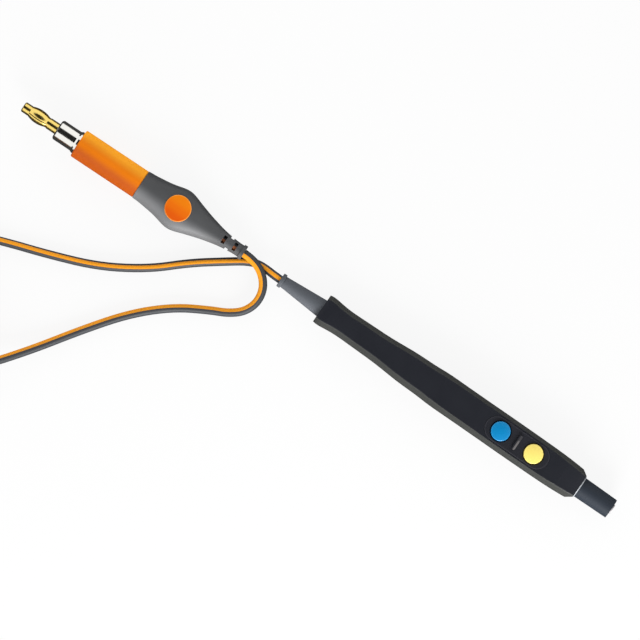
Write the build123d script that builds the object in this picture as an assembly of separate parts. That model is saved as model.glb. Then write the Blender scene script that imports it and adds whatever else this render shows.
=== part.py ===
from build123d import *

import math
import os

# Electrosurgical pencil: a two-button hand piece with an electrode chuck, its cord and its coaxial plug.
# Millimetres. The hand piece lies along X with its chuck towards +X, its flat underside on Z = 0 and its
# keypad up. The origin is below the middle of the hand piece, boot and chuck included. The plug lies on the
# same surface beyond the boot, and the free cord joins the two.

# Casing
shell_length = 128.3
shell_width = 15.1
shell_height = 12.6
wall = 1.5
parting_height = 5.9
top_bevel_width = 1.85
top_bevel_height = 2.6
belly_bevel_width = 3.0
belly_bevel_height = 3.2
section_radius = 0.7
nose_bevel_length = 2.1
nose_bevel_width = 1.5
lip_height = 0.9
lip_wall = 0.7
joint_clearance = 0.05
# Place along the casing, half width, underside and top, as shares of its length, half width and height.
# Undersides below 0 and tops above 1 are cut off flat.
body_section_shares = [
    (0.000, 0.840, 0.030, 0.780),
    (0.012, 0.872, 0.004, 0.806),
    (0.045, 0.826, -0.016, 0.812),
    (0.120, 0.775, -0.016, 0.826),
    (0.200, 0.798, -0.016, 0.858),
    (0.280, 0.866, -0.016, 0.903),
    (0.360, 0.938, -0.016, 0.950),
    (0.440, 0.988, -0.016, 0.990),
    (0.520, 1.000, -0.016, 1.010),
    (0.660, 1.000, -0.016, 1.016),
    (0.800, 0.998, -0.016, 1.016),
    (0.880, 0.984, -0.016, 1.012),
    (0.930, 0.958, 0.000, 1.000),
    (0.970, 0.915, 0.030, 0.972),
    (1.000, 0.862, 0.070, 0.930),
]

# Keypad panel with its two buttons
panel_length = 30.3
panel_width = 10.4
panel_from_front = 31.35
panel_recess = 0.9
panel_proud = 0.12
panel_gap = 0.12
panel_ledge = 0.9
panel_skirt = 1.2
panel_edge_radius = 0.1
button_pitch = 16.3
button_diameter = 8.1
button_clearance = 0.08
button_rim_width = 0.45
button_rim_depth = 0.5
button_pressed_reach = 0.45
button_crown = 0.35
button_edge_radius = 0.4
button_flange_width = 0.5
button_flange_thickness = 0.8
button_travel = 0.8
stop_gap = 0.05
plunger_diameter = 3.0
plunger_length = 0.7
ridge_length = 6.8
ridge_width = 1.7
ridge_height = 1.15
ridge_steep_width = 0.2
ridge_top_width = 0.3

# Switch domes and circuit board
dome_diameter = 7.0
dome_height = 1.15
dome_thickness = 0.2
dome_rim = 0.5
dome_top_gap = 0.02
board_length = 36.0
board_back_offset = 3.5
board_thickness = 1.2
board_side_clearance = 0.35
board_rib_thickness = 1.6
board_rib_inset = 3.0
wire_channel_width = 4.4
wire_channel_height = 3.6
diode_length = 3.2
diode_width = 1.7
diode_height = 1.1
diode_inset = 3.6
diode_pitch = 3.2

# Chuck, its seal, lining and contact sleeve
chuck_reach = 16.0
chuck_front_diameter = 8.6
chuck_rear_diameter = 9.0
chuck_dish_depth = 0.4
chuck_dish_diameter = 7.4
chuck_seat_length = 3.4
chuck_flange_diameter = 9.9
chuck_flange_thickness = 1.6
chuck_tail_diameter = 7.6
chuck_tail_length = 10.0
chuck_block_length = 8.2
seal_outer_diameter = 10.1
seal_depth = 1.0
seal_proud = 0.45
seal_edge = 0.2
socket_bore_diameter = 2.4
collar_diameter = 4.4
collar_length = 7.2
collar_proud = 0.6
collar_mouth = 0.35
sleeve_diameter = 5.1
sleeve_clearance = 0.05
sleeve_shoulder_diameter = 6.4
sleeve_shoulder_thickness = 1.2
sleeve_slot_width = 0.4
sleeve_slot_length = 9.0
sleeve_bore_length = 13.0
cup_diameter = 2.8
cup_length = 3.2
cup_bore_depth = 2.4
ring_groove_depth = 0.45
ring_width = 1.0
ring_from_mouth = 1.6
ring_opening = 1.0

# Cord, its boot and clamp at the hand piece
cord_diameter = 3.5
boot_length = 20.7
boot_rim_diameter = 6.2
boot_rim_length = 1.6
boot_tip_diameter = 4.95
boot_base_diameter = 7.8
boot_flange_diameter = 8.7
boot_flange_thickness = 1.6
boot_flange_gap = 0.4
boot_edge_radius = 0.3
clamp_diameter = 6.0
clamp_length = 4.0
clamp_gap = 1.0
rear_block_length = 9.4
wire_diameter = 1.2
wire_spread = 0.9
wire_floor_gap = 0.5

# Plug: distances run from the end of its bend relief towards the pin's tip
plug_tube_diameter = 12.5
plug_tube_length = 30.6
plug_tube_bore = 7.4
plug_tube_edge_radius = 0.35
grip_length = 50.8
grip_width = 18.1
grip_height = 12.4
spigot_diameter = 9.4
spigot_length = 11.0
# Place along the grip from its cord end, half width, half height, and squareness of the section
grip_section_shares = [
    (0.0000, 0.304, 0.452, 2.0),
    (0.0625, 0.299, 0.447, 2.0),
    (0.1250, 0.322, 0.475, 2.0),
    (0.1875, 0.365, 0.522, 2.0),
    (0.2500, 0.425, 0.582, 2.1),
    (0.3125, 0.506, 0.660, 2.2),
    (0.3750, 0.594, 0.752, 2.4),
    (0.4375, 0.696, 0.848, 2.65),
    (0.5000, 0.804, 0.925, 2.9),
    (0.5625, 0.920, 0.975, 3.05),
    (0.6250, 0.992, 0.998, 3.15),
    (0.6875, 0.959, 1.000, 3.1),
    (0.7500, 0.873, 1.000, 2.8),
    (0.8125, 0.807, 1.000, 2.5),
    (0.8750, 0.762, 1.000, 2.25),
    (0.9375, 0.724, 1.004, 2.1),
    (1.0000, 0.702, 1.012, 2.0),
]
section_points = 24
tail_rim_diameter = 6.4
tail_rim_length = 1.5
slot_width = 1.5
slot_pitch = 2.65
slot_first = 4.5
slot_count = 3
window_floor = 0.6
window_half_span = 1.75
notch_core_diameter = 4.3
dot_diameter = 11.1
dot_from_end = 32.6
dot_depth = 1.3
dot_sink = 0.12
dot_edge_radius = 0.15
barrel_diameter = 9.0
barrel_reach = 10.4
barrel_bore = 7.0
barrel_chamfer = 0.6
barrel_rim_diameter = 9.9
barrel_rim_length = 1.5
barrel_seat_length = 14.0
insulator_recess = 0.8
pin_diameter = 4.5
pin_reach = 16.8
pin_head_length = 2.6
pin_head_bore = 2.2
pin_head_bore_depth = 3.0
pin_head_chamfer = 0.4
pin_neck_diameter = 3.2
pin_base_length = 4.2
pin_base_step = 0.3
pin_shank_diameter = 3.5
pin_tail = 3.0
pin_cup_bore_depth = 2.2
cage_bulge_diameter = 6.1
cage_thickness = 0.32
cage_ring_length = 0.9
cage_leaves = 5
cage_slot_turn_deg = 27.0
cage_slot_width = 0.45
terminal_thickness = 0.8
terminal_lug_width = 2.4
terminal_lug_length = 5.0
terminal_bore = 5.0
plug_clamp_diameter = 5.3
plug_clamp_length = 4.0
plug_jacket_length = 19.0

# Where the plug lies: the end of its bend relief, and its turn against the hand piece
plug_end_x = -101.2
plug_end_y = 0.33
plug_turn_deg = 1.1

# Coil of the put-away cord
coil_centre_x = -201.1
coil_centre_y = -92.5
coil_turn_outer_radius = 29.6
coil_radial_turns = 5
coil_layers = 4
coil_pitch_share = 1.03
coil_edge_radius = 1.6
tie_width = 7.0
tie_thickness = 0.8
tie_angle_deg = 205.0

overrun = 1.0
# How much of a run each of its two bends may take
bend_share = 0.45

# Places that follow from the sizes above
hand_length = boot_length + shell_length + chuck_reach + collar_proud
rear_end_x = -hand_length / 2
shell_rear_x = rear_end_x + boot_length
shell_front_x = shell_rear_x + shell_length
chuck_front_x = shell_front_x + chuck_reach
chuck_axis_height = shell_height / 2
boot_axis_height = shell_height * body_section_shares[1][3] / 2
panel_x = shell_front_x - panel_from_front
button_reach = button_travel + button_pressed_reach
panel_seat_height = shell_height - panel_recess
panel_top_height = shell_height + panel_proud
skirt_bottom_height = panel_seat_height - panel_skirt
flange_top_height = skirt_bottom_height - stop_gap
flange_bottom_height = flange_top_height - button_flange_thickness
plunger_bottom_height = flange_bottom_height - plunger_length
board_top_height = plunger_bottom_height - dome_top_gap - dome_height
board_bottom_height = board_top_height - board_thickness
board_x = panel_x - board_back_offset
board_width = shell_width - 2 * (wall + board_side_clearance)
sleeve_front_x = chuck_front_x + collar_proud - collar_length
tail_end_x = shell_front_x - chuck_tail_length
cup_end_x = tail_end_x - sleeve_shoulder_thickness - cup_length
clamp_front_x = shell_rear_x + wall + boot_flange_gap + boot_flange_thickness + clamp_gap + clamp_length
plug_axis_height = plug_tube_diameter / 2
spigot_end_x = spigot_length - grip_length
tube_front_x = -grip_length - plug_tube_length
barrel_front_x = tube_front_x - barrel_reach
barrel_rear_x = tube_front_x + barrel_seat_length
pin_tip_x = barrel_front_x - pin_reach
cage_front_x = pin_tip_x + pin_head_length
cage_rear_x = barrel_front_x - pin_base_length
coil_turn_pitch = cord_diameter * coil_pitch_share
coil_outer_radius = coil_turn_outer_radius + cord_diameter / 2
coil_inner_radius = coil_outer_radius - coil_radial_turns * coil_turn_pitch - cord_diameter
coil_height = coil_layers * cord_diameter

# The free cord's route from the boot to the coil, and from the coil to the plug
handle_leg_route = [
    (rear_end_x, 0.0, boot_axis_height),
    (-86.2, 0.0, boot_axis_height),
    (-90.2, 0.35, 3.6),
    (-94.5, 0.15, 2.1),
    (-98.9, -1.8, 1.75),
    (-104.6, -5.9, 1.75),
    (-117.3, -15.4, 1.75),
    (-129.4, -26.8, 1.75),
    (-146.7, -37.8, 1.75),
    (-166.4, -45.5, 1.75),
    (-184.6, -51.6, 1.75),
    (-202.3, -58.6, 2.1),
    (-218.0, -68.2, 2.55),
]
plug_leg_route = [
    (plug_end_x, plug_end_y, plug_axis_height),
    (-96.3, 0.3, plug_axis_height),
    (-90.3, -2.3, 6.2),
    (-86.2, -7.2, 5.6),
    (-85.2, -13.4, 4.2),
    (-87.6, -19.3, 2.6),
    (-92.9, -23.6, 1.75),
    (-99.3, -26.6, 1.75),
    (-112.4, -34.2, 1.75),
    (-125.9, -46.9, 1.75),
    (-138.5, -64.1, 1.75),
    (-150.7, -82.5, 3.0),
    (-165.0, -101.4, 7.6),
    (-184.2, -116.8, 13.05),
]


def slab(x_low, x_high, z_low, z_high, width):
    """A block across the axis, between two places along X and two heights."""
    block = Box(x_high - x_low, width, z_high - z_low)
    return Pos((x_low + x_high) / 2, 0, (z_low + z_high) / 2) * block


def turned(points, height):
    """A solid turned about an axis along X at a height, from points of (x, radius)."""
    profile = make_face(Polyline(*points, close=True))
    return Pos(0, 0, height) * revolve(profile, Axis.X)


def turned_upright(points, x):
    """A solid turned about an upright axis at x, from points of (radius, z)."""
    profile = Plane.XZ * make_face(Polyline(*points, close=True))
    return Pos(x, 0, 0) * revolve(profile, Axis.Z)


def tube_along(points, radii, diameter):
    """A round rod along straight runs joined by tangent arcs."""
    path = FilletPolyline(*points, radius=radii)
    start = Plane(origin=path @ 0, z_dir=path % 0)
    return sweep(start * Circle(diameter / 2), path=path)


def bend_radii(points):
    """The largest arcs that the runs of a route leave room for."""
    radii = []
    for before, corner, after in zip(points, points[1:], points[2:]):
        run_in = Vector(*corner) - Vector(*before)
        run_out = Vector(*after) - Vector(*corner)
        turn = math.radians(run_in.get_angle(run_out))
        radii.append(bend_share * min(run_in.length, run_out.length) / math.tan(turn / 2))
    return radii


# Casing
def casing_section(x, half_width, underside, top, inset):
    """The casing's flat-topped eight-sided section at x, drawn in by inset."""
    corner = inset * (2 - math.sqrt(2))
    half = half_width - inset
    low = underside + inset
    high = top - inset
    bevel_y = top_bevel_width - corner
    bevel_z = top_bevel_height - corner
    belly_y = belly_bevel_width - corner
    belly_z = belly_bevel_height - corner
    outline = Polygon(
        (half - bevel_y, high),
        (half, high - bevel_z),
        (half, low + belly_z),
        (half - belly_y, low),
        (belly_y - half, low),
        (-half, low + belly_z),
        (-half, high - bevel_z),
        (bevel_y - half, high),
        align=None,
    )
    rounded = fillet(outline.vertices(), section_radius)
    return Plane(origin=(x, 0, 0), x_dir=(0, 1, 0), z_dir=(1, 0, 0)) * rounded


def casing_form(inset, end_inset):
    """The casing's outer form, or the same form drawn in for its hollow and its lip."""
    span = shell_length - 2 * end_inset
    sections = []
    for place, width, underside, top in body_section_shares:
        x = shell_rear_x + end_inset + place * span
        half = width * shell_width / 2
        sections.append(casing_section(x, half, underside * shell_height, top * shell_height, inset))
    return loft(sections)


def stadium(length, width, z_low, z_high):
    """A long oval plate over the keypad's middle, between two heights."""
    plate = extrude(SlotOverall(length, width), z_high - z_low)
    return Pos(panel_x, 0, z_low) * plate


def chuck_envelope(clearance):
    """Room for the chuck's inner part and its flange."""
    seat = chuck_rear_diameter / 2 + clearance
    flange = chuck_flange_diameter / 2 + clearance
    tail = chuck_tail_diameter / 2 + clearance
    flange_front = shell_front_x - chuck_seat_length + clearance
    flange_rear = shell_front_x - chuck_seat_length - chuck_flange_thickness - clearance
    return turned(
        [
            (shell_front_x + overrun, 0),
            (shell_front_x + overrun, seat),
            (flange_front, seat),
            (flange_front, flange),
            (flange_rear, flange),
            (flange_rear, tail),
            (tail_end_x - overrun, tail),
            (tail_end_x - overrun, 0),
        ],
        chuck_axis_height,
    )


def seal_envelope():
    """The counterbore of the seal in the casing's front face."""
    bore = seal_outer_diameter / 2
    return turned(
        [
            (shell_front_x - seal_depth, 0),
            (shell_front_x - seal_depth, bore),
            (shell_front_x + overrun, bore),
            (shell_front_x + overrun, 0),
        ],
        chuck_axis_height,
    )


def boot_envelope(clearance):
    """Room for the boot's neck and flange, the clamp and the cord behind them."""
    neck = boot_base_diameter / 2 + clearance
    flange = boot_flange_diameter / 2 + clearance
    clamp = clamp_diameter / 2 + clearance
    jacket = cord_diameter / 2 + clearance
    flange_rear = shell_rear_x + wall + boot_flange_gap - clearance
    flange_front = flange_rear + boot_flange_thickness + 2 * clearance
    clamp_rear = clamp_front_x - clamp_length - clearance
    clamp_front = clamp_front_x + clearance
    return turned(
        [
            (shell_rear_x - overrun, 0),
            (shell_rear_x - overrun, neck),
            (flange_rear, neck),
            (flange_rear, flange),
            (flange_front, flange),
            (flange_front, jacket),
            (clamp_rear, jacket),
            (clamp_rear, clamp),
            (clamp_front, clamp),
            (clamp_front, jacket),
            (shell_rear_x + wall + rear_block_length + overrun, jacket),
            (shell_rear_x + wall + rear_block_length + overrun, 0),
        ],
        boot_axis_height,
    )


def board_ribs():
    """Cross ribs that carry the board, open below it for the wires."""
    ribs = None
    for side in (-1, 1):
        middle = board_x + side * (board_length / 2 - board_rib_inset)
        rear = middle - board_rib_thickness / 2
        front = middle + board_rib_thickness / 2
        rib = slab(rear, front, 0, board_bottom_height, shell_width)
        rib -= slab(rear, front, 0, wall + wire_channel_height, wire_channel_width)
        ribs = rib if ribs is None else ribs + rib
    return ribs


def nose_cuts():
    """Wedges that bevel the casing's front corners."""
    corner = body_section_shares[-1][1] * shell_width / 2
    slope = nose_bevel_width / nose_bevel_length
    rear = shell_front_x - nose_bevel_length - overrun
    front = shell_front_x + overrun
    outside = corner + slope * overrun
    inside = corner - nose_bevel_width - slope * overrun
    wedge = extrude(Polygon((rear, outside), (front, inside), (front, outside), align=None), shell_height)
    return wedge + mirror(wedge, Plane.XZ)


def casing_shells():
    """The two casing halves with their lip, ribs and openings, solid round the chuck and the boot."""
    hollow_rear = shell_rear_x + wall + rear_block_length
    hollow_front = shell_front_x - chuck_block_length
    lip_bottom = parting_height - lip_height
    groove_bottom = lip_bottom - joint_clearance
    outer = casing_form(0, 0) - nose_cuts()
    hollow = casing_form(wall, wall) & slab(hollow_rear, hollow_front, 0, shell_height, shell_width)
    lip_form = casing_form(lip_wall, lip_wall)
    lip = lip_form & slab(hollow_rear, hollow_front, lip_bottom, parting_height, shell_width)
    groove_form = casing_form(lip_wall - joint_clearance, lip_wall - joint_clearance)
    groove_rear = hollow_rear - joint_clearance
    groove_front = hollow_front + joint_clearance
    groove = groove_form & slab(groove_rear, groove_front, groove_bottom, parting_height, shell_width)
    above = slab(rear_end_x, chuck_front_x, parting_height, shell_height, 2 * shell_width)
    below = slab(rear_end_x, chuck_front_x, 0, parting_height, 2 * shell_width)
    upper = (outer & above) + lip - hollow
    lower = (outer & below) - groove - hollow + (board_ribs() & hollow)
    recess_length = panel_length + 2 * panel_gap
    recess_width = panel_width + 2 * panel_gap
    recess = stadium(recess_length, recess_width, panel_seat_height, shell_height + overrun)
    opening_length = panel_length - 2 * panel_ledge
    opening_width = panel_width - 2 * panel_ledge
    opening = stadium(opening_length, opening_width, skirt_bottom_height - overrun, panel_seat_height)
    ends = chuck_envelope(joint_clearance) + seal_envelope() + boot_envelope(joint_clearance)
    return upper - recess - opening - ends, lower - ends


# Keypad
def button_places():
    return {"blue_button": panel_x - button_pitch / 2, "yellow_button": panel_x + button_pitch / 2}


def keypad_panel():
    """Oval panel with a guide hole for each button and a raised cross ridge between them."""
    plate = stadium(panel_length, panel_width, panel_seat_height, panel_top_height)
    plate = fillet(plate.faces().sort_by(Axis.Z)[-1].outer_wire().edges(), panel_edge_radius)
    inner_length = panel_length - 2 * (panel_ledge + panel_gap)
    inner_width = panel_width - 2 * (panel_ledge + panel_gap)
    panel = plate + stadium(inner_length, inner_width, skirt_bottom_height, panel_seat_height)
    guide = button_diameter / 2 + button_clearance
    for x in button_places().values():
        hole = turned_upright(
            [
                (0, skirt_bottom_height - overrun),
                (guide, skirt_bottom_height - overrun),
                (guide, panel_top_height - button_rim_depth),
                (guide + button_rim_width, panel_top_height),
                (guide + button_rim_width, panel_top_height + overrun),
                (0, panel_top_height + overrun),
            ],
            x,
        )
        panel -= hole
    return panel + cross_ridge()


def cross_ridge():
    """Raised ridge across the panel, steep at the back and sloping at the front, with round ends."""
    half = ridge_width / 2
    profile = Polyline(
        (-half, 0),
        (ridge_steep_width - half, ridge_height),
        (ridge_steep_width + ridge_top_width - half, ridge_height),
        (half, 0),
        close=True,
    )
    bar = extrude(Plane.XZ * make_face(profile), ridge_length / 2, both=True)
    ends = extrude(Rot(0, 0, 90) * SlotOverall(ridge_length, ridge_width), ridge_height)
    return Pos(panel_x, 0, panel_top_height) * (bar & ends)


def shallow_arc(top, rise, reach):
    """Arc of a round crown's section, from its top on the axis down to its edge."""
    radius = (reach**2 + rise**2) / (2 * rise)
    return CenterArc((0, top - radius), radius, 90, -math.degrees(math.asin(reach / radius)))


def push_button(x):
    """Button cap with a shallow crown and a rounded edge, a flange under the panel and a plunger."""
    radius = button_diameter / 2
    edge = button_edge_radius
    top = panel_top_height + button_reach
    shoulder = top - button_crown
    diagonal = edge * math.sin(math.pi / 4)
    outline = (
        shallow_arc(top, button_crown, radius - edge)
        + ThreePointArc(
            (radius - edge, shoulder),
            (radius - edge + diagonal, shoulder - edge + diagonal),
            (radius, shoulder - edge),
        )
        + Polyline(
            (radius, shoulder - edge),
            (radius, flange_top_height),
            (radius + button_flange_width, flange_top_height),
            (radius + button_flange_width, flange_bottom_height),
            (plunger_diameter / 2, flange_bottom_height),
            (plunger_diameter / 2, plunger_bottom_height),
            (0, plunger_bottom_height),
            (0, top),
        )
    )
    return Pos(x, 0, 0) * revolve(Plane.XZ * make_face(outline), Axis.Z)


def switch_dome(x):
    """Sprung contact dome on the board, with a flat rim."""
    outer = dome_diameter / 2
    inner = outer - dome_rim
    top = board_top_height + dome_height
    rim_top = board_top_height + dome_thickness
    under = top - dome_thickness
    hollow = inner - dome_thickness
    outline = (
        shallow_arc(top, top - rim_top, inner)
        + Polyline((inner, rim_top), (outer, rim_top), (outer, board_top_height), (hollow, board_top_height))
        + shallow_arc(under, under - board_top_height, hollow)
        + Line((0, under), (0, top))
    )
    return Pos(x, 0, 0) * revolve(Plane.XZ * make_face(outline), Axis.Z)


def circuit_board():
    return slab(
        board_x - board_length / 2,
        board_x + board_length / 2,
        board_bottom_height,
        board_top_height,
        board_width,
    )


def board_diodes():
    """Two diodes on the rear of the board."""
    pair = []
    for index in range(2):
        x = board_x - board_length / 2 + diode_inset
        y = (index - 0.5) * diode_pitch
        body = Box(diode_length, diode_width, diode_height)
        pair.append(Pos(x, y, board_top_height + diode_height / 2) * body)
    return pair[0] + pair[1]


# Chuck
def chuck_tube():
    """Insulating tube with a dished front, a flange held by the casing and a stepped bore."""
    front = chuck_front_x
    bore = collar_diameter / 2
    rear_bore = sleeve_diameter / 2 + sleeve_clearance
    flange_front = shell_front_x - chuck_seat_length
    flange_rear = flange_front - chuck_flange_thickness
    return turned(
        [
            (front - chuck_dish_depth, bore),
            (front - chuck_dish_depth, chuck_dish_diameter / 2 - chuck_dish_depth),
            (front, chuck_dish_diameter / 2),
            (front, chuck_front_diameter / 2 - joint_clearance),
            (front - joint_clearance, chuck_front_diameter / 2),
            (shell_front_x, chuck_rear_diameter / 2),
            (flange_front, chuck_rear_diameter / 2),
            (flange_front, chuck_flange_diameter / 2),
            (flange_rear, chuck_flange_diameter / 2),
            (flange_rear, chuck_tail_diameter / 2),
            (tail_end_x, chuck_tail_diameter / 2),
            (tail_end_x, rear_bore),
            (sleeve_front_x, rear_bore),
            (sleeve_front_x, bore),
        ],
        chuck_axis_height,
    )


def socket_collar():
    """Lining of the chuck's mouth, standing a little out of it."""
    front = chuck_front_x + collar_proud
    bore = socket_bore_diameter / 2
    outside = collar_diameter / 2
    return turned(
        [
            (front - collar_mouth, bore),
            (front, bore + collar_mouth),
            (front, outside - collar_mouth / 2),
            (front - collar_mouth / 2, outside),
            (sleeve_front_x, outside),
            (sleeve_front_x, bore),
        ],
        chuck_axis_height,
    )


def contact_sleeve():
    """Split metal sleeve that grips the electrode's shaft, with a solder cup at its rear."""
    bore = socket_bore_diameter / 2
    outside = sleeve_diameter / 2
    groove_front = sleeve_front_x - ring_from_mouth
    groove_rear = groove_front - ring_width
    shoulder_rear = tail_end_x - sleeve_shoulder_thickness
    bore_end = sleeve_front_x - sleeve_bore_length
    cup = cup_diameter / 2
    cup_bore = wire_diameter / 2
    sleeve = turned(
        [
            (sleeve_front_x, bore),
            (sleeve_front_x, outside),
            (groove_front, outside),
            (groove_front, outside - ring_groove_depth),
            (groove_rear, outside - ring_groove_depth),
            (groove_rear, outside),
            (tail_end_x, outside),
            (tail_end_x, sleeve_shoulder_diameter / 2),
            (shoulder_rear, sleeve_shoulder_diameter / 2),
            (shoulder_rear, cup),
            (cup_end_x, cup),
            (cup_end_x, cup_bore),
            (cup_end_x + cup_bore_depth, cup_bore),
            (cup_end_x + cup_bore_depth, 0),
            (bore_end, 0),
            (bore_end, bore),
        ],
        chuck_axis_height,
    )
    slot = Box(sleeve_slot_length, sleeve_diameter + overrun, sleeve_slot_width)
    return sleeve - Pos(sleeve_front_x - sleeve_slot_length / 2, 0, chuck_axis_height) * slot


def contact_ring():
    """Open spring ring in the sleeve's groove."""
    outside = sleeve_diameter / 2
    inside = outside - ring_groove_depth
    front = sleeve_front_x - ring_from_mouth
    ring = turned(
        [(front, inside), (front, outside), (front - ring_width, outside), (front - ring_width, inside)],
        chuck_axis_height,
    )
    gap = Box(ring_width + overrun, ring_opening, sleeve_diameter)
    return ring - Pos(front - ring_width / 2, 0, chuck_axis_height + sleeve_diameter / 2) * gap


def nose_seal():
    """Thin ring between the chuck and the casing's front face, standing a little proud."""
    bore = chuck_rear_diameter / 2
    outside = seal_outer_diameter / 2
    front = shell_front_x + seal_proud
    return turned(
        [
            (shell_front_x - seal_depth, bore),
            (shell_front_x - seal_depth, outside),
            (front - seal_edge, outside),
            (front, outside - seal_edge),
            (front, bore),
        ],
        chuck_axis_height,
    )


# Cord entry
def cord_boot():
    """Tapered boot with an end rim, a neck through the casing's rear face and a flange inside."""
    bore = cord_diameter / 2
    rim = boot_rim_diameter / 2
    flange_rear = shell_rear_x + wall + boot_flange_gap
    flange_front = flange_rear + boot_flange_thickness
    boot = turned(
        [
            (rear_end_x, bore),
            (rear_end_x, rim),
            (rear_end_x + boot_rim_length, rim),
            (rear_end_x + boot_rim_length, boot_tip_diameter / 2),
            (shell_rear_x, boot_base_diameter / 2),
            (flange_rear, boot_base_diameter / 2),
            (flange_rear, boot_flange_diameter / 2),
            (flange_front, boot_flange_diameter / 2),
            (flange_front, bore),
        ],
        boot_axis_height,
    )
    rims = boot.edges().filter_by(GeomType.CIRCLE).group_by(Axis.X)
    edges = [edge for edge in rims[0] + rims[1] if edge.radius > rim - boot_edge_radius]
    return fillet(edges, boot_edge_radius)


def rod_x(x_low, x_high, diameter, bore, height):
    """A round bar or tube along X."""
    bar = [(x_low, bore / 2), (x_low, diameter / 2), (x_high, diameter / 2), (x_high, bore / 2)]
    return turned(bar, height)


def handle_cord_end():
    return rod_x(rear_end_x, clamp_front_x, cord_diameter, 0, boot_axis_height)


def cord_clamp():
    return rod_x(clamp_front_x - clamp_length, clamp_front_x, clamp_diameter, cord_diameter, boot_axis_height)


def hand_wires():
    """Conductors inside the casing: one to the contact sleeve, one to the board, and the board's lead."""
    radius = wire_diameter / 2
    floor_height = wall + wire_floor_gap + radius
    first_x = clamp_front_x + rear_block_length
    rib_front_x = board_x + board_length / 2
    under_board = board_bottom_height - radius
    active = [
        (clamp_front_x, -wire_spread, boot_axis_height),
        (clamp_front_x + rear_block_length / 2, -wire_spread, boot_axis_height),
        (first_x + rear_block_length / 2, -wire_spread, floor_height),
        (rib_front_x - board_rib_inset, -wire_spread, floor_height),
        (cup_end_x - cup_length / 2, 0, chuck_axis_height),
        (cup_end_x + cup_bore_depth, 0, chuck_axis_height),
    ]
    board_rear_x = board_x - board_length / 2
    rib_rear_x = board_rear_x + board_rib_inset + board_rib_thickness
    signal = [
        (clamp_front_x, wire_spread, boot_axis_height),
        (clamp_front_x + rear_block_length / 2, wire_spread, boot_axis_height),
        (first_x + rear_block_length / 2, wire_spread, floor_height),
        (rib_rear_x, wire_spread, floor_height),
        (rib_rear_x + board_rib_inset, wire_spread, under_board),
        (rib_rear_x + 2 * board_rib_inset, wire_spread, under_board),
    ]
    return {
        "active_wire": tube_along(active, [wire_diameter * 1.5] * 4, wire_diameter),
        "signal_wire": tube_along(signal, [wire_diameter * 1.5] * 4, wire_diameter),
    }


def board_lead():
    """Short lead from under the board's front end to the sleeve's shoulder."""
    radius = wire_diameter / 2
    y = (sleeve_shoulder_diameter + cup_diameter) / 4
    under_board = board_bottom_height - radius
    board_front_x = board_x + board_length / 2
    shoulder_rear = tail_end_x - sleeve_shoulder_thickness
    points = [
        (board_front_x - board_rib_inset / 2, y, under_board),
        (board_front_x + radius, y, under_board),
        (shoulder_rear - wire_diameter, y, chuck_axis_height),
        (shoulder_rear, y, chuck_axis_height),
    ]
    return tube_along(points, [wire_diameter] * 2, wire_diameter)


# Plug, in its own frame: its axis is X, its cord leaves at the origin and its pin points to -X
def superellipse(x, half_width, half_height, squareness):
    """A rounded section across the plug: an ellipse at 2, squarer above."""
    points = []
    for index in range(section_points):
        angle = 2 * math.pi * index / section_points
        y = math.copysign(abs(math.cos(angle)) ** (2 / squareness), math.cos(angle))
        z = math.copysign(abs(math.sin(angle)) ** (2 / squareness), math.sin(angle))
        points.append((half_width * y, half_height * z))
    face = make_face(Spline(*points, periodic=True))
    return Plane(origin=(x, 0, 0), x_dir=(0, 1, 0), z_dir=(1, 0, 0)) * face


def plug_grip():
    """Diamond-shaped grip with a slotted bend relief, moulded in one, hollow for the tube and the wires."""
    sections = []
    for place, width, height, squareness in grip_section_shares:
        half_width = width * grip_width / 2
        half_height = height * grip_height / 2
        sections.append(superellipse(-place * grip_length, half_width, half_height, squareness))
    grip = loft(sections)
    grip += rod_x(-tail_rim_length, 0, tail_rim_diameter, 0, 0)
    bore = turned(
        [
            (overrun, 0),
            (overrun, cord_diameter / 2),
            (plug_clamp_length - plug_jacket_length, cord_diameter / 2),
            (plug_clamp_length - plug_jacket_length, plug_clamp_diameter / 2),
            (spigot_end_x, plug_clamp_diameter / 2),
            (spigot_end_x, spigot_diameter / 2),
            (-grip_length - overrun, spigot_diameter / 2),
            (-grip_length - overrun, 0),
        ],
        0,
    )
    grip -= bore
    for index in range(slot_count):
        x = -(slot_first + index * slot_pitch)
        for side in (-1, 1):
            grip -= tail_slot(x, side, index % 2 == 0)
    pocket = Cylinder(dot_diameter / 2 + joint_clearance, dot_depth + overrun)
    pocket_middle = grip_height / 2 - dot_depth + (dot_depth + overrun) / 2
    return grip - Pos(-dot_from_end, 0, pocket_middle) * pocket


def tail_slot(x, side, upright):
    """A window over the cord from above or below, or a notch in the tail's side."""
    reach = tail_rim_diameter
    if upright:
        low = window_floor
        return Pos(x, 0, side * (low + reach / 2)) * Box(slot_width, 2 * window_half_span, reach)
    low = notch_core_diameter / 2
    return Pos(x, side * (low + reach / 2), 0) * Box(slot_width, reach, 2 * reach)


def grip_dot():
    """Round disc let into the grip's top."""
    top = grip_height / 2 - dot_sink
    floor = grip_height / 2 - dot_depth
    edge = dot_edge_radius
    radius = dot_diameter / 2
    points = [(0, floor), (radius, floor), (radius, top - edge), (radius - edge, top), (0, top)]
    return turned_upright(points, -dot_from_end)


def plug_tube():
    """Insulating tube with a spigot in the grip and a seat for the barrel."""
    front = tube_front_x
    edge = plug_tube_edge_radius
    outside = plug_tube_diameter / 2
    seat = barrel_diameter / 2
    seat_end = barrel_rear_x + terminal_thickness
    return turned(
        [
            (front, seat),
            (front, outside - edge),
            (front + edge, outside),
            (-grip_length - edge, outside),
            (-grip_length, outside - edge),
            (-grip_length, spigot_diameter / 2),
            (spigot_end_x, spigot_diameter / 2),
            (spigot_end_x, plug_tube_bore / 2),
            (seat_end, plug_tube_bore / 2),
            (seat_end, seat),
        ],
        0,
    )


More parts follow.
